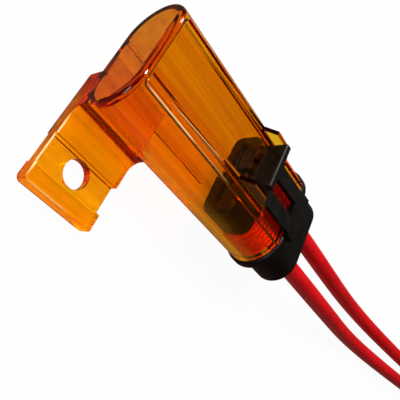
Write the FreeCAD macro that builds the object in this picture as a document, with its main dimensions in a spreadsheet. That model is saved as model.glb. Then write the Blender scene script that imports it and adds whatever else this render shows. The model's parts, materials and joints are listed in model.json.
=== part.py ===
import FreeCAD, Part
import math
import os

import Sketcher
from FreeCAD import Vector

# Inline holder for one plug-in blade fuse: a clear one-piece cover with a fixing tab, and a sealed plug on two leads.
# Frame: X runs from the cover's closed end to the leads, Y away from the tab, Z up through the latch.
# The origin is the centre of the tab's screw hole, at the hole's back mouth. Lengths are in millimetres.

doc = FreeCAD.newDocument("inline_fuse_holder")
sizes = doc.addObject("Spreadsheet::Sheet", "sizes")

SIZES = [
    # tab
    ("tab_thickness", 2.9),
    ("tab_closed_side", 7.45),
    ("tab_open_side", 7.95),
    ("tab_reach", 6.65),
    ("tab_corner_radius", 1.1),
    ("tab_open_corner_radius", 0.4),
    ("tab_edge_radius", 0.35),
    ("tab_hole_diameter", 5.4),
    ("channel_outer", 3.05),
    ("channel_inner", 3.1),
    ("channel_front_depth", 0.4),
    ("channel_back_depth", 0.6),
    ("channel_notch", 0.75),
    # cover
    ("axis_offset", 21.0),
    ("cover_width", 25.7),
    ("cover_thickness", 13.9),
    ("cover_wall", 1.5),
    ("end_wall", 1.7),
    ("cover_end", 7.5),
    ("cover_rim", 40.4),
    ("end_radius", 1.2),
    ("saddle_past_axis", 1.2),
    ("saddle_inset", 2.3),
    ("saddle_inset_start", 3.6),
    ("saddle_rise", 3.3),
    ("saddle_radius", 2.4),
    ("panel_width", 16.4),
    ("panel_rise", 0.3),
    ("panel_start", 1.35),
    ("panel_corner_radius", 0.9),
    ("panel_edge_radius", 0.25),
    ("guide_spacing", 7.4),
    ("guide_width", 0.9),
    ("guide_rise", 0.5),
    # fins beside the latch, lengths back from the cover's rim and heights above its front
    ("fin_spacing", 13.4),
    ("fin_thickness", 1.0),
    ("fin_start", 40.4),
    ("fin_ramp", 27.0),
    ("fin_ramp_rise", 1.3),
    ("fin_knee", 20.7),
    ("fin_knee_rise", 1.7),
    ("fin_crest", 18.7),
    ("fin_crest_rise", 4.4),
    ("fin_crest_end", 14.3),
    ("fin_crest_end_rise", 4.3),
    ("fin_fall", 11.4),
    ("fin_fall_rise", 2.6),
    ("fin_end", 8.2),
    # catch nib under the latch
    ("nib_width", 5.0),
    ("nib_rise", 0.75),
    ("nib_length", 2.8),
    ("catch_gap", 0.2),
    # plug body
    ("rim_gap", 0.1),
    ("flange_thickness", 2.4),
    ("flange_overhang", 0.45),
    ("flange_bevel", 0.4),
    ("nose_length", 15.3),
    ("nose_clearance", 1.25),
    ("land_length", 7.3),
    ("land_inset", 0.25),
    ("nose_corner_radius", 2.3),
    ("nose_bevel", 0.6),
    ("nose_split", 1.3),
    ("nose_split_depth", 7.6),
    ("rib_groove_width", 1.1),
    ("rib_groove_depth", 0.55),
    ("rib_groove_pitch", 2.5),
    ("terminal_pitch", 9.3),
    ("slot_width", 6.2),
    ("slot_height", 2.4),
    ("nose_end_wall", 1.5),
    ("bay_side_clearance", 0.3),
    ("bay_height_clearance", 0.4),
    ("bridge_width", 11.0),
    ("seal_bore", 7.8),
    ("seal_bore_depth", 7.4),
    ("bore_wall", 0.8),
    # rear cap
    ("tail_inset", 1.4),
    ("cap_length", 9.45),
    ("cap_end_wall", 1.6),
    ("cap_gap", 0.1),
    ("cap_edge_radius", 1.2),
    ("cap_hole_clearance", 0.3),
    # ribbed seal round the plug
    ("seal_length", 7.1),
    ("seal_base", 0.5),
    ("seal_gap", 0.16),
    ("seal_ribs", 6),
    ("seal_rib_width", 0.55),
    ("seal_rib_pitch", 1.15),
    # latch
    ("latch_width", 10.2),
    ("latch_gap", 0.25),
    ("arm_thickness", 1.1),
    ("catch_width", 5.8),
    ("window_width", 3.3),
    ("window_length", 8.7),
    ("window_margin", 2.0),
    ("latch_reach", 16.8),
    ("bar_thickness", 1.7),
    ("bar_height", 5.95),
    ("grip_grooves", 7),
    ("grip_pitch", 0.52),
    ("grip_groove_width", 0.24),
    ("grip_groove_depth", 0.2),
    # terminals, cable seals and leads
    ("terminal_gap", 0.15),
    ("box_width", 6.6),
    ("box_height", 3.2),
    ("box_length", 8.4),
    ("metal", 0.4),
    ("leaf_side_gap", 0.5),
    ("leaf_length", 5.6),
    ("leaf_gap", 0.7),
    ("neck_length", 1.6),
    ("neck_width", 3.4),
    ("barrel_length", 4.4),
    ("bare_length", 1.55),
    ("cable_seal_length", 6.0),
    ("cable_seal_core", 6.7),
    ("cable_seal_ribs", 2),
    ("cable_seal_bore_gap", 0.05),
    ("lead_diameter", 4.7),
    ("conductor_diameter", 2.9),
    ("strip_length", 8.0),
]

for line, (name, size) in enumerate(SIZES, start=1):
    sizes.set(f"A{line}", name)
    sizes.set(f"B{line}", str(size))
    sizes.setAlias(f"B{line}", name)
doc.recompute()


def mm(expression):
    """The present value of an expression over the sheet's sizes."""
    return float(sizes.evalExpression(expression.replace("sizes.", "")))


# Expressions that several pieces share. Half sizes are measured from the holder's own axis.
HALF_WIDTH = "(sizes.cover_width / 2)"
HALF_THICKNESS = "(sizes.cover_thickness / 2)"
AXIS_Y = "sizes.axis_offset"
AXIS_Z = "sizes.tab_thickness - sizes.channel_back_depth + sizes.cover_thickness / 2"
TAB_BACK = "(-sizes.cover_thickness / 2 - sizes.tab_thickness)"
PANEL_TOP = "(sizes.cover_thickness / 2 + sizes.panel_rise)"
ARM_UNDERSIDE = f"({PANEL_TOP} + sizes.latch_gap)"
ARM_TOP = f"({PANEL_TOP} + sizes.latch_gap + sizes.arm_thickness)"
NIB_TOP = f"({PANEL_TOP} + sizes.nib_rise)"
FLANGE_FACE = "(sizes.cover_rim + sizes.rim_gap)"
TAIL_FACE = "(sizes.cover_rim + sizes.rim_gap + sizes.flange_thickness)"
CORE_HALF_HEIGHT = "(sizes.seal_bore / 2 + sizes.bore_wall)"
CORE_HALF_WIDTH = "(sizes.terminal_pitch / 2 + sizes.seal_bore / 2 + sizes.bore_wall)"
CAP_END = f"({TAIL_FACE} + sizes.cap_length)"
CORE_END = f"({CAP_END} - sizes.cap_end_wall - sizes.cap_gap)"
NOSE_TIP = f"({FLANGE_FACE} - sizes.nose_length)"
NOSE_HALF_WIDTH = f"({HALF_WIDTH} - sizes.cover_wall - sizes.nose_clearance)"
NOSE_HALF_HEIGHT = f"({HALF_THICKNESS} - sizes.cover_wall - sizes.nose_clearance)"
LAND_START = f"({FLANGE_FACE} - sizes.land_length)"
LAND_HALF_WIDTH = f"({NOSE_HALF_WIDTH} - sizes.land_inset)"
LAND_HALF_HEIGHT = f"({NOSE_HALF_HEIGHT} - sizes.land_inset)"
SEAL_START = f"({FLANGE_FACE} - sizes.seal_length)"
BAR_START = f"({FLANGE_FACE} - sizes.latch_reach)"
BAY_HALF_WIDTH = "(sizes.box_width / 2 + sizes.bay_side_clearance)"
BAY_HALF_HEIGHT = "(sizes.box_height / 2 + sizes.bay_height_clearance)"
TERMINAL_FRONT = f"({NOSE_TIP} + sizes.nose_end_wall + sizes.terminal_gap)"
CONDUCTOR_START = f"({TERMINAL_FRONT} + sizes.box_length + sizes.neck_length)"
LEAD_START = f"({CONDUCTOR_START} + sizes.barrel_length + sizes.bare_length)"


def body_on_axis(name, side=0):
    """A body whose own origin lies on the holder's axis, or on a lead's axis on one side of it."""
    body = doc.addObject("PartDesign::Body", name)
    body.Label = name
    shift = f" + {side} * sizes.terminal_pitch / 2" if side else ""
    body.setExpression("Placement.Base.y", AXIS_Y + shift)
    body.setExpression("Placement.Base.z", AXIS_Z)
    return body


def sketch_on(body, name, plane, offset="0"):
    """An empty sketch on one of the body's origin planes, moved along the plane's normal."""
    sketch = body.newObject("Sketcher::SketchObject", name)
    role = [p for p in body.Origin.OriginFeatures if p.Role == plane]
    sketch.AttachmentSupport = [(role[0], "")]
    sketch.MapMode = "FlatFace"
    if offset != "0":
        sketch.setExpression("AttachmentOffset.Base.z", offset)
    return sketch


def pin(sketch, kind, index, point, expression):
    """Ties a point's distance from the sketch's origin, along one axis, to an expression."""
    if expression == "0":
        axis = -2 if kind == "DistanceX" else -1
        sketch.addConstraint(Sketcher.Constraint("PointOnObject", index, point, axis))
        return
    row = sketch.addConstraint(Sketcher.Constraint(kind, -1, 1, index, point, mm(expression)))
    sketch.setExpression(f"Constraints[{row}]", expression)


def outline(sketch, points):
    """A closed outline of straight lines, each corner tied to its two expressions."""
    start = sketch.GeometryCount
    corners = [Vector(mm(x), mm(y), 0) for x, y in points]
    count = len(corners)
    for i in range(count):
        sketch.addGeometry(Part.LineSegment(corners[i], corners[(i + 1) % count]), False)
    for i in range(count):
        here = start + i
        following = start + (i + 1) % count
        sketch.addConstraint(Sketcher.Constraint("Coincident", here, 2, following, 1))
    for i, (x, y) in enumerate(points):
        pin(sketch, "DistanceX", start + i, 1, x)
        pin(sketch, "DistanceY", start + i, 1, y)
    return sketch


def rectangle(sketch, low_x, high_x, low_y, high_y):
    """A rectangle between two expressions on each axis."""
    return outline(sketch, [(low_x, low_y), (high_x, low_y), (high_x, high_y), (low_x, high_y)])


def circle(sketch, diameter, x="0", y="0"):
    """A circle tied to its centre and diameter."""
    index = sketch.addGeometry(Part.Circle(Vector(mm(x), mm(y), 0), Vector(0, 0, 1), mm(diameter) / 2), False)
    row = sketch.addConstraint(Sketcher.Constraint("Diameter", index, mm(diameter)))
    sketch.setExpression(f"Constraints[{row}]", diameter)
    pin(sketch, "DistanceX", index, 3, x)
    pin(sketch, "DistanceY", index, 3, y)
    return sketch


def stadium(sketch, half_width, half_height):
    """A flat-sided oval centred on the sketch's origin, with full round ends."""
    across = f"{half_width} - {half_height}"
    c = mm(across)
    r = mm(half_height)
    start = sketch.GeometryCount
    right = Part.Circle(Vector(c, 0, 0), Vector(0, 0, 1), r)
    left = Part.Circle(Vector(-c, 0, 0), Vector(0, 0, 1), r)
    sketch.addGeometry(Part.LineSegment(Vector(-c, r, 0), Vector(c, r, 0)), False)
    sketch.addGeometry(Part.ArcOfCircle(right, -math.pi / 2, math.pi / 2), False)
    sketch.addGeometry(Part.LineSegment(Vector(c, -r, 0), Vector(-c, -r, 0)), False)
    sketch.addGeometry(Part.ArcOfCircle(left, math.pi / 2, 3 * math.pi / 2), False)
    top, arc_right, bottom, arc_left = range(start, start + 4)
    for a, b, c_, d in [(top, 2, arc_right, 2), (arc_right, 1, bottom, 1), (bottom, 2, arc_left, 2),
                        (arc_left, 1, top, 1)]:
        sketch.addConstraint(Sketcher.Constraint("Tangent", a, b, c_, d))
    sketch.addConstraint(Sketcher.Constraint("Equal", arc_right, arc_left))
    sketch.addConstraint(Sketcher.Constraint("Symmetric", arc_right, 3, arc_left, 3, -1, 1))
    sketch.addConstraint(Sketcher.Constraint("Horizontal", top))
    row = sketch.addConstraint(Sketcher.Constraint("Radius", arc_right, r))
    sketch.setExpression(f"Constraints[{row}]", half_height)
    pin(sketch, "DistanceX", arc_right, 3, across)
    return sketch


def pad(body, name, sketch, length, midplane=False, reverse=False):
    """Material added along the sketch's normal."""
    feature = body.newObject("PartDesign::Pad", name)
    feature.Profile = sketch
    feature.setExpression("Length", length)
    feature.Midplane = midplane
    feature.Reversed = reverse
    return feature


def pocket(body, name, sketch, depth, midplane=False, reverse=False):
    """Material removed against the sketch's normal."""
    feature = body.newObject("PartDesign::Pocket", name)
    feature.Profile = sketch
    feature.setExpression("Length", depth)
    feature.Midplane = midplane
    feature.Reversed = reverse
    return feature


def revolve(body, name, sketch):
    """A full turn of the sketch about the body's X axis."""
    feature = body.newObject("PartDesign::Revolution", name)
    feature.Profile = sketch
    axis = [a for a in body.Origin.OriginFeatures if a.Role == "X_Axis"]
    feature.ReferenceAxis = (axis[0], [""])
    feature.Angle = 360
    return feature


def mirror(body, name, features, plane="XZ_Plane"):
    """The same features again on the other side of one of the body's origin planes."""
    feature = body.newObject("PartDesign::Mirrored", name)
    feature.Originals = features
    side = [p for p in body.Origin.OriginFeatures if p.Role == plane]
    feature.MirrorPlane = (side[0], [""])
    body.Tip = feature
    return feature


def pattern(body, name, features, axis, pitch, count):
    """The same features again, a pitch apart along one of the body's axes."""
    feature = body.newObject("PartDesign::LinearPattern", name)
    feature.Originals = features
    line = [a for a in body.Origin.OriginFeatures if a.Role == axis]
    feature.Direction = (line[0], [""])
    feature.setExpression("Occurrences", count)
    feature.setExpression("Length", f"{pitch} * ({count} - 1)")
    body.Tip = feature
    return feature


def fillet(body, name, base, radius, wanted):
    """Rounds the edges of a feature that a test picks."""
    doc.recompute()
    names = [f"Edge{i}" for i, edge in enumerate(base.Shape.Edges, start=1) if wanted(edge)]
    if not names:
        raise ValueError(f"{name}: no edge to round")
    feature = body.newObject("PartDesign::Fillet", name)
    feature.Base = (base, names)
    feature.setExpression("Radius", radius)
    return feature


def bevel(body, name, base, size, wanted):
    """Bevels the edges of a feature that a test picks."""
    doc.recompute()
    names = [f"Edge{i}" for i, edge in enumerate(base.Shape.Edges, start=1) if wanted(edge)]
    if not names:
        raise ValueError(f"{name}: no edge to bevel")
    feature = body.newObject("PartDesign::Chamfer", name)
    feature.Base = (base, names)
    feature.setExpression("Size", size)
    return feature


def all_at(edge, axis, place, slack=0.01):
    """True if the whole edge lies at one place along an axis."""
    box = edge.BoundBox
    low = getattr(box, axis + "Min")
    high = getattr(box, axis + "Max")
    return abs(low - place) < slack and abs(high - place) < slack


def make_cover():
    """The clear cover with its fixing tab, front panel, latch fins and catch nib, moulded in one."""
    body = body_on_axis("cover")
    closed = "-sizes.cover_end"
    length = "sizes.cover_end + sizes.cover_rim"
    section = stadium(sketch_on(body, "cover_section", "YZ_Plane", closed), HALF_WIDTH, HALF_THICKNESS)
    barrel = pad(body, "cover_barrel", section, length)
    end_place = mm(closed)
    fillet(body, "cover_end_rounding", barrel, "sizes.end_radius", lambda edge: all_at(edge, "X", end_place))

    panel_end = f"({closed} + sizes.panel_start)"
    panel = rectangle(sketch_on(body, "panel_section", "YZ_Plane", panel_end),
                      "-sizes.panel_width / 2", "sizes.panel_width / 2", "0", PANEL_TOP)
    panel_pad = pad(body, "front_panel", panel, f"sizes.cover_rim - {panel_end}")
    end_x = mm(panel_end)
    side_y = mm("sizes.panel_width / 2")
    corners = fillet(body, "panel_corners", panel_pad, "sizes.panel_corner_radius",
                     lambda edge: all_at(edge, "X", end_x)
                     and (all_at(edge, "Y", side_y) or all_at(edge, "Y", -side_y)))
    panel_z = mm(PANEL_TOP)
    rim_x = mm("sizes.cover_rim")
    fillet(body, "panel_rounding", corners, "sizes.panel_edge_radius",
           lambda edge: all_at(edge, "Z", panel_z) and not all_at(edge, "X", rim_x))

    fin_root = f"{PANEL_TOP} - 0.2 * sizes.cover_wall"
    fins = outline(sketch_on(body, "fin_outline", "XZ_Plane", "sizes.fin_spacing / 2 - sizes.fin_thickness"), [
        ("sizes.cover_rim - sizes.fin_start", fin_root),
        ("sizes.cover_rim - sizes.fin_end", fin_root),
        ("sizes.cover_rim - sizes.fin_end", PANEL_TOP),
        ("sizes.cover_rim - sizes.fin_fall", f"{HALF_THICKNESS} + sizes.fin_fall_rise"),
        ("sizes.cover_rim - sizes.fin_crest_end", f"{HALF_THICKNESS} + sizes.fin_crest_end_rise"),
        ("sizes.cover_rim - sizes.fin_crest", f"{HALF_THICKNESS} + sizes.fin_crest_rise"),
        ("sizes.cover_rim - sizes.fin_knee", f"{HALF_THICKNESS} + sizes.fin_knee_rise"),
        ("sizes.cover_rim - sizes.fin_ramp", f"{HALF_THICKNESS} + sizes.fin_ramp_rise"),
        ("sizes.cover_rim - sizes.fin_start", PANEL_TOP),
    ])
    left_fin = pad(body, "fin", fins, "sizes.fin_thickness")
    mirror(body, "fin_pair", [left_fin])

    nib_face = f"{BAR_START} + sizes.bar_thickness + sizes.catch_gap"
    nib = outline(sketch_on(body, "nib_outline", "XZ_Plane"), [
        (nib_face, f"{PANEL_TOP} - 0.5 * sizes.cover_wall"),
        (f"{nib_face} + sizes.nib_length", f"{PANEL_TOP} - 0.5 * sizes.cover_wall"),
        (f"{nib_face} + sizes.nib_length", PANEL_TOP),
        (f"{nib_face} + 0.2 * sizes.nib_length", NIB_TOP),
        (nib_face, NIB_TOP),
    ])
    pad(body, "catch_nib", nib, "sizes.nib_width", midplane=True)

    # Under the cover the plate steps in at its closed side, so that it doesn't show beyond the cover's end.
    def plate_outline(name, low_y):
        return outline(sketch_on(body, name, "XY_Plane", TAB_BACK), [
            ("-sizes.tab_closed_side", low_y),
            ("sizes.tab_open_side", low_y),
            ("sizes.tab_open_side", "sizes.saddle_past_axis"),
            ("-sizes.tab_closed_side + sizes.saddle_inset", "sizes.saddle_past_axis"),
            ("-sizes.tab_closed_side + sizes.saddle_inset", "-sizes.saddle_inset_start"),
            ("-sizes.tab_closed_side", "-sizes.saddle_inset_start"),
        ])

    tab_end = "-sizes.axis_offset - sizes.tab_reach"
    pad(body, "tab_plate", plate_outline("tab_outline", tab_end), "sizes.tab_thickness")
    # The saddle fills the wedge between the plate and the cover's round side.
    round_centre = f"({HALF_WIDTH} - {HALF_THICKNESS})"
    saddle_drop = f"({HALF_THICKNESS} - sizes.saddle_rise)"
    saddle_edge = f"-{round_centre} - sqrt({HALF_THICKNESS} ^ 2 - {saddle_drop} ^ 2)"
    saddle = pad(body, "tab_saddle", plate_outline("saddle_outline", saddle_edge),
                 "sizes.tab_thickness + sizes.saddle_rise + 0.2 * sizes.cover_wall")
    plate_z = mm(f"{TAB_BACK} + sizes.tab_thickness")
    saddle_y = mm(saddle_edge)
    fillet(body, "saddle_hollow", saddle, "sizes.saddle_radius",
           lambda edge: all_at(edge, "Z", plate_z) and all_at(edge, "Y", saddle_y))

    hollow = stadium(sketch_on(body, "hollow_section", "YZ_Plane", "sizes.cover_rim"),
                     f"({HALF_WIDTH} - sizes.cover_wall)", f"({HALF_THICKNESS} - sizes.cover_wall)")
    pocket(body, "hollow", hollow, f"{length} - sizes.end_wall")

    # Two low guide ribs run down the inside of the back wall, short of the plug's nose.
    guide = rectangle(sketch_on(body, "guide_outline", "XY_Plane", f"-{HALF_THICKNESS} + 0.5 * sizes.cover_wall"),
                      f"{closed} + 0.5 * sizes.end_wall", f"{NOSE_TIP} - 2 * sizes.guide_width",
                      "sizes.guide_spacing / 2", "sizes.guide_spacing / 2 + sizes.guide_width")
    guide_pad = pad(body, "guide_rib", guide, "0.5 * sizes.cover_wall + sizes.guide_rise")
    mirror(body, "guide_ribs", [guide_pad])

    channel = ("-sizes.axis_offset - sizes.channel_outer", "-sizes.axis_offset + sizes.channel_inner")
    past_closed = "-sizes.tab_closed_side - sizes.tab_thickness"
    past_open = "sizes.tab_open_side + sizes.tab_thickness"
    front = rectangle(sketch_on(body, "front_channel_outline", "XY_Plane", f"{TAB_BACK} + sizes.tab_thickness"),
                      past_closed, past_open, *channel)
    pocket(body, "front_channel", front, "sizes.channel_front_depth")
    back = rectangle(sketch_on(body, "back_channel_outline", "XY_Plane", TAB_BACK),
                     past_closed, past_open, *channel)
    pocket(body, "back_channel", back, "sizes.channel_back_depth", reverse=True)
    notch = rectangle(sketch_on(body, "notch_outline", "XY_Plane", f"{TAB_BACK} + sizes.tab_thickness"),
                      "sizes.tab_open_side - sizes.channel_notch", past_open, *channel)
    pocket(body, "channel_notch_cut", notch, "sizes.tab_thickness")
    hole = circle(sketch_on(body, "tab_hole_outline", "XY_Plane", f"{TAB_BACK} + sizes.tab_thickness"),
                  "sizes.tab_hole_diameter", "0", "-sizes.axis_offset")
    drilled = pocket(body, "tab_hole", hole, "sizes.tab_thickness")

    end_y = mm(tab_end)
    corner = fillet(body, "tab_corner", drilled, "sizes.tab_corner_radius",
                    lambda edge: all_at(edge, "Y", end_y) and all_at(edge, "X", -mm("sizes.tab_closed_side")))
    corners = fillet(body, "tab_open_corner", corner, "sizes.tab_open_corner_radius",
                     lambda edge: all_at(edge, "Y", end_y) and all_at(edge, "X", mm("sizes.tab_open_side")))
    front_z = mm(TAB_BACK) + mm("sizes.tab_thickness")
    closed_x = -mm("sizes.tab_closed_side")
    fillet(body, "tab_front_rounding", corners, "sizes.tab_edge_radius",
           lambda edge: all_at(edge, "Z", front_z) and edge.BoundBox.YMax < -mm(AXIS_Y) + mm("sizes.channel_inner")
           and (all_at(edge, "X", closed_x) or all_at(edge, "Y", end_y)))
    return body


def make_connector_body():
    """The plug's black moulding: nose with two blade sockets, seal land, flange, and the core under the rear cap."""
    body = body_on_axis("connector_body")
    land = stadium(sketch_on(body, "land_section", "YZ_Plane", LAND_START),
                   LAND_HALF_WIDTH, LAND_HALF_HEIGHT)
    pad(body, "seal_land", land, f"{FLANGE_FACE} - {LAND_START}")
    nose = rectangle(sketch_on(body, "nose_section", "YZ_Plane", NOSE_TIP),
                     f"-{NOSE_HALF_WIDTH}", NOSE_HALF_WIDTH,
                     f"-{NOSE_HALF_HEIGHT}", NOSE_HALF_HEIGHT)
    nose_pad = pad(body, "nose", nose, f"{LAND_START} - {NOSE_TIP}")
    tip = mm(NOSE_TIP)
    side_y = mm(NOSE_HALF_WIDTH)
    top_z = mm(NOSE_HALF_HEIGHT)
    rounded = fillet(body, "nose_corners", nose_pad, "sizes.nose_corner_radius",
                     lambda edge: (all_at(edge, "Y", side_y) or all_at(edge, "Y", -side_y))
                     and (all_at(edge, "Z", top_z) or all_at(edge, "Z", -top_z)))
    bevel(body, "nose_end_bevel", rounded, "sizes.nose_bevel", lambda edge: all_at(edge, "X", tip))

    flange = stadium(sketch_on(body, "flange_section", "YZ_Plane", FLANGE_FACE),
                     f"({HALF_WIDTH} + sizes.flange_overhang)", f"({HALF_THICKNESS} + sizes.flange_overhang)")
    flange_pad = pad(body, "flange", flange, "sizes.flange_thickness")
    faces = (mm(FLANGE_FACE), mm(TAIL_FACE))
    rim = mm(HALF_THICKNESS) + mm("sizes.flange_overhang")
    bevel(body, "flange_edges", flange_pad, "sizes.flange_bevel",
          lambda edge: any(all_at(edge, "X", x) for x in faces)
          and max(edge.BoundBox.ZMax, -edge.BoundBox.ZMin) > rim - 0.01)

    bridge = rectangle(sketch_on(body, "bridge_section", "YZ_Plane", FLANGE_FACE),
                       "-sizes.bridge_width / 2", "sizes.bridge_width / 2", HALF_THICKNESS, ARM_TOP)
    pad(body, "latch_bridge", bridge, "sizes.flange_thickness")
    core = stadium(sketch_on(body, "core_section", "YZ_Plane", TAIL_FACE), CORE_HALF_WIDTH, CORE_HALF_HEIGHT)
    pad(body, "core", core, f"{CORE_END} - {TAIL_FACE}")

    split = rectangle(sketch_on(body, "split_outline", "XY_Plane"),
                      f"{NOSE_TIP} - sizes.nose_split", f"{NOSE_TIP} + sizes.nose_split_depth",
                      "-sizes.nose_split / 2", "sizes.nose_split / 2")
    pocket(body, "nose_split_cut", split, f"2 * {NOSE_HALF_HEIGHT} + sizes.nose_split", midplane=True)

    # Lengthwise grooves leave raised ribs on the front and back of each socket.
    groove = rectangle(sketch_on(body, "rib_groove_outline", "XY_Plane", NOSE_HALF_HEIGHT),
                       f"{NOSE_TIP} - sizes.nose_split", LAND_START,
                       "sizes.terminal_pitch / 2 - sizes.rib_groove_pitch / 2 - sizes.rib_groove_width",
                       "sizes.terminal_pitch / 2 - sizes.rib_groove_pitch / 2")
    near = pocket(body, "rib_groove_near", groove, "sizes.rib_groove_depth")
    groove = rectangle(sketch_on(body, "rib_groove_outline_far", "XY_Plane", NOSE_HALF_HEIGHT),
                       f"{NOSE_TIP} - sizes.nose_split", LAND_START,
                       "sizes.terminal_pitch / 2 + sizes.rib_groove_pitch / 2",
                       "sizes.terminal_pitch / 2 + sizes.rib_groove_pitch / 2 + sizes.rib_groove_width")
    far = pocket(body, "rib_groove_far", groove, "sizes.rib_groove_depth")
    mirror(body, "rib_grooves_side", [near, far])
    mirror(body, "rib_grooves_back", [near, far], "XY_Plane")

    for side, word in ((-1, "left"), (1, "right")):
        middle = f"{side} * sizes.terminal_pitch / 2"
        slot = rectangle(sketch_on(body, f"blade_slot_outline_{word}", "YZ_Plane", NOSE_TIP),
                         f"{middle} - sizes.slot_width / 2", f"{middle} + sizes.slot_width / 2",
                         "-sizes.slot_height / 2", "sizes.slot_height / 2")
        pocket(body, f"blade_slot_{word}", slot, "2 * sizes.nose_end_wall", reverse=True)
        bay = rectangle(sketch_on(body, f"bay_outline_{word}", "YZ_Plane", f"{NOSE_TIP} + sizes.nose_end_wall"),
                        f"{middle} - {BAY_HALF_WIDTH}", f"{middle} + {BAY_HALF_WIDTH}",
                        f"-{BAY_HALF_HEIGHT}", BAY_HALF_HEIGHT)
        pocket(body, f"terminal_bay_{word}", bay, f"{CORE_END} - {NOSE_TIP} - sizes.nose_end_wall",
               reverse=True)
        bore = circle(sketch_on(body, f"seal_bore_outline_{word}", "YZ_Plane", CORE_END),
                      "sizes.seal_bore", middle)
        pocket(body, f"seal_bore_{word}", bore, "sizes.seal_bore_depth")
    return body


def make_rear_cap():
    """The cap over the plug's back end, which keeps the cable seals in and lets the two leads out."""
    body = body_on_axis("rear_cap")
    outer = stadium(sketch_on(body, "cap_section", "YZ_Plane", TAIL_FACE),
                    f"({HALF_WIDTH} - sizes.tail_inset)", f"({HALF_THICKNESS} - sizes.tail_inset)")
    shell = pad(body, "cap_shell", outer, f"{CAP_END} - {TAIL_FACE}")
    end_x = mm(CAP_END)
    fillet(body, "cap_rounding", shell, "sizes.cap_edge_radius", lambda edge: all_at(edge, "X", end_x))
    inner = stadium(sketch_on(body, "cap_hollow_section", "YZ_Plane", TAIL_FACE),
                    f"({CORE_HALF_WIDTH} + sizes.cap_gap)", f"({CORE_HALF_HEIGHT} + sizes.cap_gap)")
    pocket(body, "cap_hollow", inner, f"{CAP_END} - sizes.cap_end_wall - {TAIL_FACE}", reverse=True)
    for side, word in ((-1, "left"), (1, "right")):
        hole = circle(sketch_on(body, f"lead_hole_outline_{word}", "YZ_Plane", CAP_END),
                      "sizes.lead_diameter + sizes.cap_hole_clearance", f"{side} * sizes.terminal_pitch / 2")
        pocket(body, f"lead_hole_{word}", hole, "2 * sizes.cap_end_wall")
    return body


def make_perimeter_seal():
    """The soft ring round the plug: a thin sleeve with ribs that seal against the cover's inside."""
    body = body_on_axis("perimeter_seal")
    land = (LAND_HALF_WIDTH, LAND_HALF_HEIGHT)
    reach = ("sizes.cover_width / 2 - sizes.cover_wall - sizes.seal_gap",
             "sizes.cover_thickness / 2 - sizes.cover_wall - sizes.seal_gap")
    length = f"{FLANGE_FACE} - {SEAL_START}"
    sleeve = stadium(sketch_on(body, "sleeve_section", "YZ_Plane", SEAL_START),
                     f"({land[0]} + sizes.seal_base)", f"({land[1]} + sizes.seal_base)")
    pad(body, "sleeve", sleeve, length)
    first = f"{SEAL_START} + sizes.seal_rib_width / 2"
    rib = stadium(sketch_on(body, "seal_rib_section", "YZ_Plane", first), f"({reach[0]})", f"({reach[1]})")
    rib_pad = pad(body, "seal_rib", rib, "sizes.seal_rib_width")
    pattern(body, "seal_rib_row", [rib_pad], "X_Axis", "sizes.seal_rib_pitch", "sizes.seal_ribs")
    bore = stadium(sketch_on(body, "seal_opening_section", "YZ_Plane", SEAL_START), *land)
    pocket(body, "seal_opening", bore, length, reverse=True)
    return body


def make_lock_latch():
    """The latch: two arms over the cover's front, a cross plate with a ribbed grip, and the catch window."""
    body = body_on_axis("lock_latch")
    half = "sizes.latch_width / 2"
    arms = rectangle(sketch_on(body, "latch_outline", "XY_Plane", ARM_UNDERSIDE),
                     BAR_START, FLANGE_FACE, f"-{half}", half)
    pad(body, "latch_arms", arms, "sizes.arm_thickness")
    plate_back = f"{BAR_START} + sizes.bar_thickness"
    catch = rectangle(sketch_on(body, "catch_window_outline", "XY_Plane", ARM_TOP),
                      f"{BAR_START} - sizes.catch_gap",
                      f"{plate_back} + sizes.nib_length + 2 * sizes.catch_gap",
                      "-sizes.catch_width / 2", "sizes.catch_width / 2")
    pocket(body, "catch_window", catch, "sizes.arm_thickness")
    window = rectangle(sketch_on(body, "window_outline", "XY_Plane", ARM_TOP),
                       f"{FLANGE_FACE} - sizes.window_margin - sizes.window_length",
                       f"{FLANGE_FACE} - sizes.window_margin",
                       "-sizes.window_width / 2", "sizes.window_width / 2")
    pocket(body, "window", window, "sizes.arm_thickness")
    grip_top = f"({HALF_THICKNESS} + sizes.bar_height)"
    plate = rectangle(sketch_on(body, "grip_plate_outline", "XY_Plane", f"{NIB_TOP} + sizes.catch_gap"),
                      BAR_START, plate_back, f"-{half}", half)
    plate_pad = pad(body, "grip_plate", plate, f"{grip_top} - {NIB_TOP} - sizes.catch_gap")
    top = mm(grip_top)
    fillet(body, "grip_rounding", plate_pad, "0.3 * sizes.bar_thickness",
           lambda edge: all_at(edge, "Z", top) and edge.BoundBox.YLength > mm(half))
    grip = rectangle(sketch_on(body, "grip_groove_outline", "XZ_Plane"),
                     f"{BAR_START} - sizes.bar_thickness", f"{BAR_START} + sizes.grip_groove_depth",
                     f"{NIB_TOP} + sizes.catch_gap + sizes.grip_pitch",
                     f"{NIB_TOP} + sizes.catch_gap + sizes.grip_pitch + sizes.grip_groove_width")
    groove = pocket(body, "grip_groove", grip, "2 * sizes.latch_width", midplane=True)
    pattern(body, "grip_groove_row", [groove], "Z_Axis", "sizes.grip_pitch", "sizes.grip_grooves")
    return body


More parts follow.
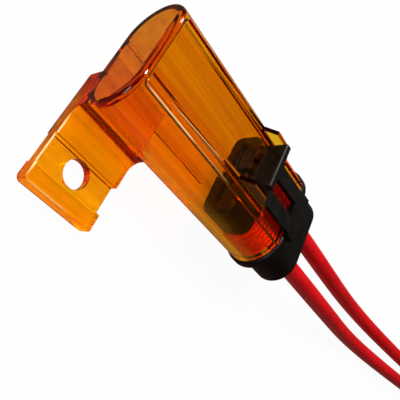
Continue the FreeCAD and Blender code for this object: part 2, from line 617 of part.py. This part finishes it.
def make_terminal(word, side):
    """A blade receptacle bent from sheet: an open box, a neck and the barrel crimped round the conductor."""
    body = body_on_axis(f"terminal_{word}", side)
    back = f"({TERMINAL_FRONT} + sizes.box_length)"
    box = rectangle(sketch_on(body, f"box_section_{word}", "YZ_Plane", TERMINAL_FRONT),
                    "-sizes.box_width / 2", "sizes.box_width / 2", "-sizes.box_height / 2", "sizes.box_height / 2")
    pad(body, f"box_{word}", box, "sizes.box_length")
    inside = rectangle(sketch_on(body, f"box_opening_{word}", "YZ_Plane", TERMINAL_FRONT),
                       "-sizes.box_width / 2 + sizes.metal", "sizes.box_width / 2 - sizes.metal",
                       "-sizes.box_height / 2 + sizes.metal", "sizes.box_height / 2 - sizes.metal")
    pocket(body, f"box_hollow_{word}", inside, "sizes.box_length", reverse=True)
    # Two spring leaves bow in from the box's roof and floor to grip the blade.
    roof = "(sizes.box_height / 2 - sizes.metal)"
    leaf = outline(sketch_on(body, f"leaf_profile_{word}", "XZ_Plane"), [
        (TERMINAL_FRONT, roof),
        (f"{TERMINAL_FRONT} + sizes.leaf_length / 2", "sizes.leaf_gap / 2"),
        (f"{TERMINAL_FRONT} + sizes.leaf_length", roof),
        (f"{TERMINAL_FRONT} + sizes.leaf_length - sizes.metal", f"{roof} + sizes.metal / 2"),
        (f"{TERMINAL_FRONT} + sizes.leaf_length / 2", "sizes.leaf_gap / 2 + sizes.metal"),
        (f"{TERMINAL_FRONT} + sizes.metal", f"{roof} + sizes.metal / 2"),
    ])
    leaf_width = "sizes.box_width - 2 * sizes.metal - 2 * sizes.leaf_side_gap"
    upper = pad(body, f"leaf_{word}", leaf, leaf_width, midplane=True)
    mirror(body, f"leaf_pair_{word}", [upper], "XY_Plane")
    neck = rectangle(sketch_on(body, f"neck_section_{word}", "YZ_Plane", back),
                     "-sizes.neck_width / 2", "sizes.neck_width / 2",
                     "-sizes.box_height / 2", "-sizes.box_height / 2 + sizes.metal")
    pad(body, f"neck_{word}", neck, "sizes.neck_length + sizes.barrel_length")
    barrel = circle(sketch_on(body, f"barrel_section_{word}", "YZ_Plane", f"{back} + sizes.neck_length"),
                    "sizes.conductor_diameter + 2 * sizes.metal")
    pad(body, f"barrel_{word}", barrel, "sizes.barrel_length")
    grip = circle(sketch_on(body, f"barrel_opening_{word}", "YZ_Plane", f"{back} + sizes.neck_length"),
                  "sizes.conductor_diameter")
    pocket(body, f"barrel_bore_{word}", grip, "sizes.barrel_length", reverse=True)
    return body


def make_cable_seal(word, side):
    """A soft ribbed sleeve on the lead, seated in the core's bore."""
    body = body_on_axis(f"cable_seal_{word}", side)
    start = f"({CORE_END} - sizes.cable_seal_length)"
    inner = "(sizes.lead_diameter / 2 + sizes.cable_seal_bore_gap)"
    core = "sizes.cable_seal_core / 2"
    crest = "(sizes.seal_bore / 2 - sizes.cable_seal_bore_gap)"
    points = [(start, inner), (start, core)]
    # Each rib is half a pitch wide, with half a pitch of bare sleeve before and after the row.
    for rib in range(int(mm("sizes.cable_seal_ribs"))):
        pitch = "sizes.cable_seal_length / (sizes.cable_seal_ribs + 0.5)"
        points.append((f"{start} + {pitch} * ({rib} + 0.5)", core))
        points.append((f"{start} + {pitch} * ({rib} + 0.5)", crest))
        points.append((f"{start} + {pitch} * ({rib} + 1)", crest))
        points.append((f"{start} + {pitch} * ({rib} + 1)", core))
    points += [(CORE_END, core), (CORE_END, inner)]
    revolve(body, f"cable_seal_turn_{word}",
            outline(sketch_on(body, f"cable_seal_profile_{word}", "XY_Plane"), points))
    return body


# The leads run straight out of the rear cap, sink to the surface the tab lies on and bend gently towards +Y.
# The first two points of each lie on its terminal's axis.
LEAD_ROUTES = {
    "left": [(mm(LEAD_START), 16.35, 9.25), (60.0, 16.35, 9.25), (84.0, 17.8, 7.1), (112.0, 21.55, 1.9),
             (141.5, 24.6, 1.75), (171.5, 28.4, 1.75)],
    "right": [(mm(LEAD_START), 25.65, 9.25), (58.0, 25.65, 9.25), (82.0, 26.85, 7.0), (108.0, 31.05, 1.9),
              (136.5, 32.95, 1.75), (167.5, 36.05, 1.75)],
}


def rounded_path(points):
    """Straight runs joined by tangent arcs, each as large as its two runs allow."""
    points = [Vector(*p) for p in points]
    edges = []
    radii = []
    here = points[0]
    for before, corner, after in zip(points, points[1:], points[2:]):
        into = (corner - before).normalize()
        out = (after - corner).normalize()
        turn = into.getAngle(out)
        cut = 0.45 * min(corner.distanceToPoint(before), corner.distanceToPoint(after))
        radius = cut / math.tan(turn / 2)
        arc_start = corner - into * cut
        arc_end = corner + out * cut
        middle = corner + (out - into).normalize() * (radius / math.cos(turn / 2) - radius)
        edges.append(Part.LineSegment(here, arc_start).toShape())
        edges.append(Part.Arc(arc_start, middle, arc_end).toShape())
        radii.append(radius)
        here = arc_end
    edges.append(Part.LineSegment(here, points[-1]).toShape())
    return Part.Wire(edges), radii


def make_lead(word):
    """One lead's insulation, a plain round cord along its route."""
    path, radii = rounded_path(LEAD_ROUTES[word])
    start = path.Edges[0]
    ring = Part.Circle(start.Vertexes[0].Point, Vector(1, 0, 0), mm("sizes.lead_diameter") / 2)
    section = Part.Wire([ring.toShape()])
    tube = path.makePipeShell([section], True, False)
    expected = math.pi * mm("sizes.lead_diameter") ** 2 / 4 * path.Length
    print(f"lead_{word}: length {path.Length:.1f} mm, smallest radius {min(radii):.0f} mm,"
          f" volume {tube.Volume / expected:.4f} of section times length")
    lead = doc.addObject("Part::Feature", f"lead_{word}")
    lead.Label = f"lead_{word}"
    lead.Shape = tube
    return lead


def make_strands(word):
    """The bare conductor at a lead's two ends: the stretch in the terminal's barrel and the stripped far end."""
    radius = mm("sizes.conductor_diameter") / 2
    near = Vector(mm(CONDUCTOR_START), LEAD_ROUTES[word][0][1], LEAD_ROUTES[word][0][2])
    before = Vector(*LEAD_ROUTES[word][-2])
    end = Vector(*LEAD_ROUTES[word][-1])
    inner = Part.makeCylinder(radius, LEAD_ROUTES[word][0][0] - near.x, near, Vector(1, 0, 0))
    outer = Part.makeCylinder(radius, mm("sizes.strip_length"), end, end - before)
    strands = doc.addObject("Part::Feature", f"strands_{word}")
    strands.Label = f"strands_{word}"
    strands.Shape = Part.makeCompound([inner, outer])
    return strands


parts = [make_cover(), make_connector_body(), make_rear_cap(), make_perimeter_seal(), make_lock_latch()]
for word, side in (("left", -1), ("right", 1)):
    parts.append(make_terminal(word, side))
    parts.append(make_cable_seal(word, side))
    parts.append(make_lead(word))
    parts.append(make_strands(word))
doc.recompute()

for thing in doc.Objects:
    if "Invalid" in thing.State or "Error" in thing.State:
        raise RuntimeError(f"{thing.Name} failed: {thing.State}")
for part in parts:
    if part.Shape.isNull() or not part.Shape.isValid() or not part.Shape.Solids:
        raise RuntimeError(f"{part.Label} has no valid solid")

os.makedirs("parts", exist_ok=True)
for part in parts:
    part.Shape.exportStep(f"parts/{part.Label}.step")
    box = part.Shape.BoundBox
    print(f"{part.Label}: {len(part.Shape.Solids)} solid, {part.Shape.Volume:.1f} mm3,"
          f" X {box.XMin:.2f}..{box.XMax:.2f} Y {box.YMin:.2f}..{box.YMax:.2f} Z {box.ZMin:.2f}..{box.ZMax:.2f}")
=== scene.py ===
import json
import math

import bpy
from mathutils import Matrix, Vector


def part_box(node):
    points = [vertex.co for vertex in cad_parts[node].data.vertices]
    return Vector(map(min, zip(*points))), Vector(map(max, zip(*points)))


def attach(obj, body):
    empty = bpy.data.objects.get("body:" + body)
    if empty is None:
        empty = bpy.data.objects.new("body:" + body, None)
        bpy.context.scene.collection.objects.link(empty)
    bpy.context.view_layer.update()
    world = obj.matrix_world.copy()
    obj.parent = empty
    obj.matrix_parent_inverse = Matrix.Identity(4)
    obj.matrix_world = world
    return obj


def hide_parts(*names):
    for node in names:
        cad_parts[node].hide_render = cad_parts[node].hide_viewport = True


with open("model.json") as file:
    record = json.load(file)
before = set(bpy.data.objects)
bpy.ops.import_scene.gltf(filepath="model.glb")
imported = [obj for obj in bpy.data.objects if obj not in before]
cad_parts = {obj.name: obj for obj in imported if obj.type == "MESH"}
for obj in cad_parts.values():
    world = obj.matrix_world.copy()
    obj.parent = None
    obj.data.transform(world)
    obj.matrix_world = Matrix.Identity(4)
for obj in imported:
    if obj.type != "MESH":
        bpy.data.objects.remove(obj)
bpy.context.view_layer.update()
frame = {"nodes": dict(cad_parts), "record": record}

MM = 0.001

# The camera stands over the tab's corner and is turned on its side.
# The part's Z points right in the picture, and its X down and to the right.
CAMERA_PLACE = Vector((-34.6, -30.75, 73.1)) * MM
CAMERA_FORWARD = Vector((0.5919, 0.4369, -0.6773))
CAMERA_RIGHT = Vector((0.5402, 0.4087, 0.7357))
SENSOR = 36.0
PHOTO_SIDE = 400
FOCAL_PIXELS = 479.2

# The floor lies a hair below the tab's back, so that the clear tab isn't stuck to it optically.
TAB_BACK = next(mount for mount in frame["record"]["mounts"] if mount["name"] == "tab_back")
FLOOR_GAP = 0.1 * MM
FLOOR_HEIGHT = TAB_BACK["pos_m"][2] - FLOOR_GAP
FLOOR_REACH = 1.2
FLOOR_COLOUR = (0.6, 0.6, 0.6, 1.0)

# The white of the floor as the camera sees it, through the clear plastic, and in the object's gloss.
WHITE = 1.0
WHITE_THROUGH = 0.9
WHITE_MIRRORED = 0.18
# The room beyond the floor, through the plastic and in the gloss.
ROOM_THROUGH = 0.3
ROOM_MIRRORED = 0.05
# The room's strength as a light on the object.
ROOM_LIGHT = 0.05
# Floor and room are plain white, and warm where the gloss shows them.
PLAIN_WHITE = (1.0, 1.0, 1.0, 1.0)
MIRRORED_TINT = (1.0, 0.52, 0.4, 1.0)
# How much of the floor's white is glow, seen straight and through the plastic.
# The rest is lit and takes shadows.
FLOOR_GLOW = 0.96
FLOOR_GLOW_THROUGH = 0.55

# The lamps: place, width and height in metres, and power in watts.
LAMPS = {
    "key": ((-0.19, 0.27, 0.51), 0.12, 0.12, 4.4),
    "fill": ((-0.35, -0.25, 0.25), 0.2, 0.2, 0.5),
    "rim": ((0.0, 0.40, 0.30), 0.2, 0.15, 1.0),
}
LAMP_AIM = (0.02, 0.02, 0.01)
# Light passes many surfaces of the clear cover before it gets out.
CLEAR_BOUNCES = 32
GLOSS_BOUNCES = 16

# The leads, as in the part's source: out of the rear cap, down to the floor and gently towards +Y.
LEAD_DIAMETER = 4.7 * MM
LEAD_ROUTES = {
    "left": [(42.8, 16.35, 9.25), (60.0, 16.35, 9.25), (84.0, 17.8, 7.1), (112.0, 21.55, 1.9),
             (141.5, 24.6, 1.75), (171.5, 28.4, 1.75)],
    "right": [(42.8, 25.65, 9.25), (58.0, 25.65, 9.25), (82.0, 26.85, 7.0), (108.0, 31.05, 1.9),
              (136.5, 32.95, 1.75), (167.5, 36.05, 1.75)],
}

# The conductor's bare end: one middle strand with two rings round it, twisted over the lay length.
CONDUCTOR_DIAMETER = 2.9 * MM
STRIP_LENGTH = 8.0 * MM
STRAND_RINGS = 2
LAY_LENGTH = 34.0 * MM
STRAND_STEPS = 14
# Cut strands never end quite level: each is short by none to four of these shares.
CUT_SHARE = 0.012
CREASE_ANGLE = math.radians(50)

# Materials vary inside boxes, given in mm by their lowest and highest corner, with a strength.
# The full strength is reached a third of the way from a box's sides to its middle.
BOX_FADE = 3.0
# Painted highlights on the cover's edges: pale strips that are less clear, so that the lamps light them.
PAINTED_HIGHLIGHT_EDGES = [
    # The tab's front edge by the closed end, and the same edge down in the channel.
    ((-7.42, -6.0, 1.95), (-7.04, 7.6, 2.45), 0.9),
    ((-7.42, -3.6, 1.55), (-7.04, 3.6, 2.05), 0.9),
    # The front edge of the tab's outer end.
    ((-7.2, -6.65, 1.95), (2.5, -6.25, 2.45), 0.45),
    # The front panel's edge on the tab's side, whose painted highlight grows fainter towards the latch.
    ((-6.3, 12.7, 16.22), (9.0, 13.08, 16.65), 0.9),
    ((7.0, 12.7, 16.22), (20.0, 13.08, 16.65), 0.3),
    # The start of the panel's other edge.
    ((-5.5, 28.92, 16.22), (2.5, 29.3, 16.65), 0.5),
    # The outer side of the fin nearer the tab.
    ((-0.5, 14.2, 16.4), (15.0, 14.5, 18.2), 0.45),
]
# The tab's cut sides, which are satin.
# The long boxes reach past the sides' ends, so that the satin doesn't fade there.
SATIN_SIDES = [
    # The side by the closed end, and the part of it that rises in the hollow to the saddle.
    ((-7.75, -30.0, -0.45), (-7.15, 19.0, 3.2), 1.0),
    ((-7.75, 0.0, 1.5), (-7.15, 9.0, 7.5), 1.0),
    # The outer end.
    ((-30.0, -6.95, -0.45), (30.0, -6.35, 3.2), 1.0),
    # The side towards the leads.
    ((7.65, -30.0, -0.45), (8.25, 11.0, 3.2), 1.0),
]
SATIN = 0.6

# The amber's tint at each surface, which varies with the flow lines, and the pale tint of the painted
# highlights on some edges.
AMBER_DEEP = (0.77, 0.43, 0.07, 1.0)
AMBER_LIGHT = (0.95, 0.66, 0.13, 1.0)
AMBER_PAINTED_HIGHLIGHT = (1.0, 0.7, 0.36, 1.0)
# What its thickness lets through, and the colour of lamp light that has passed it.
AMBER_DEPTH = (0.995, 0.957, 0.45, 1.0)
AMBER_DENSITY = 3000.0
AMBER_SHADOW = (0.8, 0.55, 0.12, 1.0)
AMBER_IOR = 1.46
AMBER_SPECULAR = 0.35
AMBER_ROUGHNESS = (0.02, 0.05)

# Noise, in cells to a metre, and how it is stretched into lines along X.
FLOW_CELLS = 620.0
FLOW_STRETCH = (0.03, 1, 1)
AMBER_GLOSS_CELLS = 260.0
MOULDED_CLOUD_CELLS = 160.0
MOULDED_GLOSS_CELLS = 400.0
DRAWN_CELLS = 900.0
DRAWN_STRETCH = (0.08, 1, 1)
# The middle part of the noise, which is spread over the whole of a range or a blend of colours.
NOISE_RANGE = (0.3, 0.7)
COLOUR_RANGE = (0.35, 0.65)
# The strength of the bumps, and how deep the amber's flow lines and the metal's drawn lines are.
MOULDED_BUMP = 0.35
DRAWN_BUMP = 0.2
FLOW_DEPTH = 0.05 * MM
DRAWN_DEPTH = 0.02 * MM


def srgb(red, green, blue):
    """A colour as it shows on a screen, 0 to 255, as the linear values that shaders take."""
    linear = []
    for level in (red, green, blue):
        share = level / 255
        linear.append(((share + 0.055) / 1.055) ** 2.4 if level > 10 else share / 12.92)
    return (*linear, 1.0)


class Nodes:
    """The node tree of a material or the world, with short ways to add and join its nodes."""

    def __init__(self, owner, output="ShaderNodeOutputMaterial"):
        owner.use_nodes = True
        self.owner = owner
        self.tree = owner.node_tree
        self.tree.nodes.clear()
        self.output = self.add(output)

    def add(self, kind, **settings):
        """A node with its settings and its sockets' plain values."""
        node = self.tree.nodes.new(kind)
        for key, value in settings.items():
            if hasattr(node, key):
                setattr(node, key, value)
            else:
                node.inputs[key.replace("_", " ")].default_value = value
        return node

    def join(self, source, target):
        """Links one node's output to another's input."""
        self.tree.links.new(source, target)

    def noise(self, scale, detail=3.0, stretch=(1, 1, 1)):
        """Noise over the object's own space, in cells of so many to a metre."""
        place = self.add("ShaderNodeTexCoord")
        mapping = self.add("ShaderNodeMapping")
        mapping.inputs["Scale"].default_value = stretch
        noise = self.add("ShaderNodeTexNoise", Scale=scale, Detail=detail)
        self.join(place.outputs["Object"], mapping.inputs["Vector"])
        self.join(mapping.outputs["Vector"], noise.inputs["Vector"])
        return noise.outputs["Fac"]

    def ramp(self, value, low, high):
        """Noise spread between two numbers."""
        spread = self.add("ShaderNodeMapRange")
        spread.inputs["From Min"].default_value = NOISE_RANGE[0]
        spread.inputs["From Max"].default_value = NOISE_RANGE[1]
        spread.inputs["To Min"].default_value = low
        spread.inputs["To Max"].default_value = high
        self.join(value, spread.inputs["Value"])
        return spread.outputs["Result"]

    def colours(self, value, first, second):
        """A value from 0 to 1 as a blend from one colour to another."""
        ramp = self.add("ShaderNodeValToRGB")
        for stop, position, colour in zip(ramp.color_ramp.elements, COLOUR_RANGE, (first, second)):
            stop.position = position
            stop.color = colour
        self.join(value, ramp.inputs["Fac"])
        return ramp.outputs["Color"]

    def math(self, operation, *values, clamp=False):
        """Arithmetic on numbers and sockets."""
        node = self.add("ShaderNodeMath", operation=operation, use_clamp=clamp)
        for socket, value in zip(node.inputs, values):
            if isinstance(value, (int, float)):
                socket.default_value = value
            else:
                self.join(value, socket)
        return node.outputs[0]

    def by_ray(self, camera, refracted, mirrored):
        """A number for rays straight from the camera, one for those through clear plastic, one for gloss."""
        path = self.add("ShaderNodeLightPath")
        straight = path.outputs["Is Camera Ray"]
        through = path.outputs["Is Transmission Ray"]
        # A ray refracted by slightly rough plastic counts as glossy too.
        gloss = self.math("SUBTRACT", path.outputs["Is Glossy Ray"], through, clamp=True)
        share = self.math("MULTIPLY", straight, camera)
        share = self.math("MULTIPLY_ADD", through, refracted, share)
        return self.math("MULTIPLY_ADD", gloss, mirrored, share)

    def surroundings_colour(self):
        """The white of floor and room, tinted in the object's gloss."""
        return self.colours(self.by_ray(0, 0, 1), PLAIN_WHITE, MIRRORED_TINT)

    def in_boxes(self, boxes):
        """How far a place lies in one of the boxes, times that box's strength."""
        place = self.add("ShaderNodeTexCoord").outputs["Object"]
        total = 0.0
        for low, high, strength in boxes:
            low = Vector(low) * MM
            high = Vector(high) * MM
            away = self.add("ShaderNodeVectorMath", operation="SUBTRACT")
            away.inputs[1].default_value = (low + high) / 2
            size = self.add("ShaderNodeVectorMath", operation="DIVIDE")
            size.inputs[1].default_value = (high - low) / 2
            parts = self.add("ShaderNodeSeparateXYZ")
            self.join(place, away.inputs[0])
            self.join(away.outputs[0], size.inputs[0])
            self.join(size.outputs[0], parts.inputs[0])
            reach = 0.0
            for part in parts.outputs:
                reach = self.math("MAXIMUM", reach, self.math("ABSOLUTE", part))
            inside = self.math("MULTIPLY", self.math("SUBTRACT", 1.0, reach), BOX_FADE, clamp=True)
            total = self.math("MAXIMUM", total, self.math("MULTIPLY", inside, strength))
        return total

    def bump(self, value, strength, depth):
        """A value from 0 to 1 as the height of a fine relief, at most so deep."""
        bump = self.add("ShaderNodeBump", Strength=strength, Distance=depth)
        self.join(value, bump.inputs["Height"])
        return bump.outputs["Normal"]


def moulded(name, first, second, roughness, specular, grain, grain_depth):
    """A solid moulded material: a faint two-tone colour, uneven gloss and a fine grain."""
    nodes = Nodes(bpy.data.materials.new(name))
    shader = nodes.add("ShaderNodeBsdfPrincipled")
    shader.inputs["Specular IOR Level"].default_value = specular
    nodes.join(nodes.colours(nodes.noise(MOULDED_CLOUD_CELLS), first, second), shader.inputs["Base Color"])
    nodes.join(nodes.ramp(nodes.noise(MOULDED_GLOSS_CELLS), *roughness), shader.inputs["Roughness"])
    grain_height = nodes.noise(grain, detail=5.0)
    nodes.join(nodes.bump(grain_height, MOULDED_BUMP, grain_depth), shader.inputs["Normal"])
    nodes.join(shader.outputs["BSDF"], nodes.output.inputs["Surface"])
    return nodes.owner


def amber_plastic():
    """Clear amber: it tints what is seen through it, more where it is thick, and lets lamp light through."""
    nodes = Nodes(bpy.data.materials.new("amber_clear"))
    shader = nodes.add("ShaderNodeBsdfPrincipled")
    shader.inputs["IOR"].default_value = AMBER_IOR
    shader.inputs["Specular IOR Level"].default_value = AMBER_SPECULAR

    # The melt's flow lines run along X.
    flow = nodes.noise(FLOW_CELLS, stretch=FLOW_STRETCH)
    nodes.join(nodes.bump(flow, MOULDED_BUMP, FLOW_DEPTH), shader.inputs["Normal"])
    # Painted highlight: in the edge boxes the tint turns pale and the plastic less clear, so that the lamps
    # light these strips.
    painted_highlight = nodes.in_boxes(PAINTED_HIGHLIGHT_EDGES)
    colour = nodes.add("ShaderNodeMixRGB", Color2=AMBER_PAINTED_HIGHLIGHT)
    nodes.join(painted_highlight, colour.inputs["Fac"])
    nodes.join(nodes.colours(flow, AMBER_DEEP, AMBER_LIGHT), colour.inputs["Color1"])
    nodes.join(colour.outputs["Color"], shader.inputs["Base Color"])
    nodes.join(nodes.math("SUBTRACT", 1.0, painted_highlight), shader.inputs["Transmission Weight"])
    satin = nodes.math("MULTIPLY", nodes.in_boxes(SATIN_SIDES), SATIN)
    roughness = nodes.ramp(nodes.noise(AMBER_GLOSS_CELLS), *AMBER_ROUGHNESS)
    nodes.join(nodes.math("ADD", roughness, satin), shader.inputs["Roughness"])

    depth = nodes.add("ShaderNodeVolumeAbsorption")
    depth.inputs["Color"].default_value = AMBER_DEPTH
    depth.inputs["Density"].default_value = AMBER_DENSITY
    nodes.join(depth.outputs["Volume"], nodes.output.inputs["Volume"])

    through = nodes.add("ShaderNodeBsdfTransparent")
    through.inputs["Color"].default_value = AMBER_SHADOW
    path = nodes.add("ShaderNodeLightPath")
    mix = nodes.add("ShaderNodeMixShader")
    nodes.join(path.outputs["Is Shadow Ray"], mix.inputs["Fac"])
    nodes.join(shader.outputs["BSDF"], mix.inputs[1])
    nodes.join(through.outputs["BSDF"], mix.inputs[2])
    nodes.join(mix.outputs["Shader"], nodes.output.inputs["Surface"])
    return nodes.owner


def metal(name, first, second, roughness):
    """Bare metal with fine drawn lines along X."""
    nodes = Nodes(bpy.data.materials.new(name))
    shader = nodes.add("ShaderNodeBsdfPrincipled")
    shader.inputs["Metallic"].default_value = 1.0
    lines = nodes.noise(DRAWN_CELLS, stretch=DRAWN_STRETCH)
    nodes.join(nodes.colours(lines, first, second), shader.inputs["Base Color"])
    nodes.join(nodes.ramp(lines, *roughness), shader.inputs["Roughness"])
    nodes.join(nodes.bump(lines, DRAWN_BUMP, DRAWN_DEPTH), shader.inputs["Normal"])
    nodes.join(shader.outputs["BSDF"], nodes.output.inputs["Surface"])
    return nodes.owner


MATERIALS = {
    "amber_plastic": amber_plastic(),
    "black_plastic": moulded("moulded_black", srgb(9, 8, 6), srgb(13, 12, 10),
                             roughness=(0.38, 0.55), specular=0.2, grain=3200.0, grain_depth=0.02 * MM),
    "seal_rubber": moulded("seal_silicone", srgb(226, 72, 18), srgb(204, 52, 12),
                           roughness=(0.45, 0.6), specular=0.3, grain=1800.0, grain_depth=0.015 * MM),
    "terminal_metal": metal("tinned_brass", srgb(214, 206, 190), srgb(190, 182, 166), roughness=(0.22, 0.38)),
    "lead_insulation": moulded("lead_insulation_red", srgb(206, 12, 20), srgb(192, 9, 16),
                               roughness=(0.34, 0.46), specular=0.4, grain=1200.0, grain_depth=0.02 * MM),
    "copper": metal("bare_copper", srgb(205, 128, 84), srgb(180, 100, 62), roughness=(0.25, 0.4)),
}


def dress(piece, material):
    """Gives a piece its one material."""
    piece.data.materials.clear()
    piece.data.materials.append(material)


def lead(word):
    """One lead's insulation as a smooth cord on its route."""
    curve = bpy.data.curves.new(f"lead_cord_{word}", "CURVE")
    curve.dimensions = "3D"
    curve.bevel_depth = LEAD_DIAMETER / 2
    curve.bevel_resolution = 12
    curve.use_fill_caps = True
    spline = curve.splines.new("NURBS")
    route = LEAD_ROUTES[word]
    spline.points.add(len(route) - 1)
    for point, place in zip(spline.points, route):
        point.co = (*(Vector(place) * MM), 1.0)
    spline.order_u = 3
    spline.use_endpoint_u = True
    spline.resolution_u = 24
    piece = bpy.data.objects.new(f"lead_cord_{word}", curve)
    bpy.context.scene.collection.objects.link(piece)
    dress(piece, MATERIALS["lead_insulation"])
    return piece


def tube(vertices, faces, centres, side, up, radius, sides=8):
    """Adds one round strand along its centre points, closed at both ends."""
    start = len(vertices)
    for centre in centres:
        for corner in range(sides):
            turn = 2 * math.pi * corner / sides
            vertices.append(centre + side * (radius * math.cos(turn)) + up * (radius * math.sin(turn)))
    for ring in range(len(centres) - 1):
        for corner in range(sides):
            first = start + ring * sides + corner
            second = start + ring * sides + (corner + 1) % sides
            faces.append((first, second, second + sides, first + sides))
    last_ring = start + (len(centres) - 1) * sides
    faces.append([start + corner for corner in reversed(range(sides))])
    faces.append([last_ring + corner for corner in range(sides)])


def strands(word):
    """The bare conductor: twisted strands at the lead's stripped end, and its core inside the terminal."""
    route = [Vector(place) * MM for place in LEAD_ROUTES[word]]
    along = (route[-1] - route[-2]).normalized()
    side = along.cross(Vector((0, 0, 1))).normalized()
    up = side.cross(along)
    radius = CONDUCTOR_DIAMETER / (2 * STRAND_RINGS + 1) / 2
    places = [(0.0, 0.0)]
    for ring in range(1, STRAND_RINGS + 1):
        # Six round strands fit round one, twelve round those.
        in_ring = 6 * ring
        for place in range(in_ring):
            places.append((2 * ring * radius, 2 * math.pi * place / in_ring))
    vertices = []
    faces = []
    for number, (reach, turn) in enumerate(places):
        length = STRIP_LENGTH * (1 - CUT_SHARE * (number * 7 % 5))
        centres = []
        for step in range(STRAND_STEPS + 1):
            gone = length * step / STRAND_STEPS
            angle = turn + 2 * math.pi * gone / LAY_LENGTH
            offset = side * (reach * math.cos(angle)) + up * (reach * math.sin(angle))
            centres.append(route[-1] + along * gone + offset)
        tube(vertices, faces, centres, side, up, radius)
    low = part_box(f"strands_{word}")[0].x
    core = [Vector((low, route[0].y, route[0].z)), route[0]]
    tube(vertices, faces, core, Vector((0, 1, 0)), Vector((0, 0, 1)), CONDUCTOR_DIAMETER / 2, sides=24)
    mesh = bpy.data.meshes.new(f"copper_strands_{word}")
    mesh.from_pydata(vertices, [], faces)
    mesh.shade_smooth()
    mesh.set_sharp_from_angle(angle=CREASE_ANGLE)
    piece = bpy.data.objects.new(f"copper_strands_{word}", mesh)
    bpy.context.scene.collection.objects.link(piece)
    dress(piece, MATERIALS["copper"])
    return piece


def add_camera():
    """A square-framed camera set by its place and two of its axes."""
    data = bpy.data.cameras.new("camera")
    data.sensor_width = SENSOR
    data.lens = SENSOR * FOCAL_PIXELS / PHOTO_SIDE
    data.clip_start = 1 * MM
    camera = bpy.data.objects.new("camera", data)
    bpy.context.scene.collection.objects.link(camera)
    back = -CAMERA_FORWARD.normalized()
    up = back.cross(CAMERA_RIGHT).normalized()
    turn = Matrix((up.cross(back), up, back)).transposed()
    camera.matrix_world = Matrix.Translation(CAMERA_PLACE) @ turn.to_4x4()
    bpy.context.scene.camera = camera


def add_floor():
    """A plain floor with faint shadows, white to the camera, toned down through plastic and in gloss."""
    mesh = bpy.data.meshes.new("floor")
    signs = ((-1, -1), (1, -1), (1, 1), (-1, 1))
    corners = [(x * FLOOR_REACH, y * FLOOR_REACH, FLOOR_HEIGHT) for x, y in signs]
    mesh.from_pydata(corners, [], [(0, 1, 2, 3)])
    floor = bpy.data.objects.new("floor", mesh)
    bpy.context.scene.collection.objects.link(floor)
    nodes = Nodes(bpy.data.materials.new("floor_white"))
    matt = nodes.add("ShaderNodeBsdfDiffuse")
    matt.inputs["Color"].default_value = FLOOR_COLOUR
    glow = nodes.add("ShaderNodeEmission")
    nodes.join(nodes.by_ray(WHITE, WHITE_THROUGH, WHITE_MIRRORED), glow.inputs["Strength"])
    nodes.join(nodes.surroundings_colour(), glow.inputs["Color"])
    mix = nodes.add("ShaderNodeMixShader")
    nodes.join(nodes.by_ray(FLOOR_GLOW, FLOOR_GLOW_THROUGH, 1.0), mix.inputs["Fac"])
    nodes.join(matt.outputs["BSDF"], mix.inputs[1])
    nodes.join(glow.outputs["Emission"], mix.inputs[2])
    nodes.join(mix.outputs["Shader"], nodes.output.inputs["Surface"])
    dress(floor, nodes.owner)


def add_world():
    """A room that is white behind the object and dim as a light, toned down through plastic and in gloss."""
    world = bpy.data.worlds.new("studio")
    bpy.context.scene.world = world
    nodes = Nodes(world, "ShaderNodeOutputWorld")
    room = nodes.add("ShaderNodeBackground")
    seen = nodes.by_ray(WHITE, ROOM_THROUGH, ROOM_MIRRORED)
    nodes.join(nodes.surroundings_colour(), room.inputs["Color"])
    nodes.join(nodes.math("MAXIMUM", seen, ROOM_LIGHT), room.inputs["Strength"])
    nodes.join(room.outputs["Background"], nodes.output.inputs["Surface"])


def add_lamp(name, place, width, height, power):
    """A soft rectangular lamp at a place, aimed at the object."""
    data = bpy.data.lights.new(name, "AREA")
    data.shape = "RECTANGLE"
    data.size = width
    data.size_y = height
    data.energy = power
    lamp = bpy.data.objects.new(name, data)
    bpy.context.scene.collection.objects.link(lamp)
    lamp.location = place
    lamp.rotation_euler = (Vector(LAMP_AIM) - Vector(place)).to_track_quat("-Z", "Y").to_euler()


FINISHES = {entry["node"]: entry["material_slot"] for entry in frame["record"]["subparts"]}
for name, node in frame["nodes"].items():
    dress(node, MATERIALS[FINISHES[name]])

for word in LEAD_ROUTES:
    bare_end = strands(word)
    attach(bare_end, "plug")
    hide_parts(f"strands_{word}")
    cord = lead(word)
    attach(cord, "plug")
    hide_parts(f"lead_{word}")

add_camera()
add_floor()
add_world()
for name, settings in LAMPS.items():
    add_lamp(name, *settings)

cycles = bpy.context.scene.cycles
cycles.max_bounces = CLEAR_BOUNCES
cycles.transmission_bounces = CLEAR_BOUNCES
cycles.glossy_bounces = GLOSS_BOUNCES
bpy.context.scene.view_settings.view_transform = "Standard"
